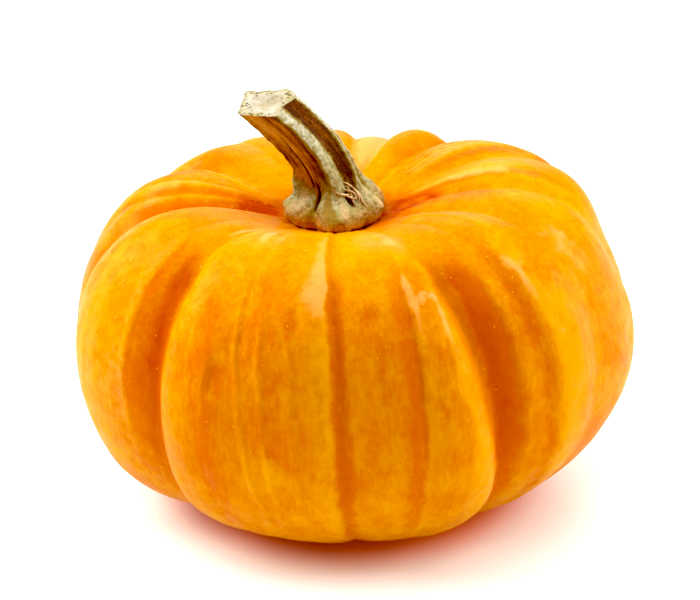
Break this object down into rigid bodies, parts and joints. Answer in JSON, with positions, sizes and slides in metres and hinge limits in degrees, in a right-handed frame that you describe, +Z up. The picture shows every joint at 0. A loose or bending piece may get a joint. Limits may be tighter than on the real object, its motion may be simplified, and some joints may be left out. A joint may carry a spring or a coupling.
{
  "type": "pumpkin",
  "caption": "Small whole ribbed pumpkin with deep grooves between rounded lobes and a short cut stem that curves to one side.",
  "frame": {"origin": "on the resting plane, under the middle of the box round the fruit and stem", "axes": "+Z up from the blossom end to the stem, -Y to the front of the fruit, +X to the right, away from the side to which the stem curves"},
  "size_m": [0.0948, 0.0826, 0.071],
  "materials": {
    "skin": "satin waxy orange rind, redder in the grooves, with fine pale pores",
    "stem": "dry corky stalk, pale straw on the ridges and brown in the flutes, with a cream cut end"
  },
  "bodies": {
    "root": {"fruit": "skin", "stem": "stem"}
  },
  "joints": []
}
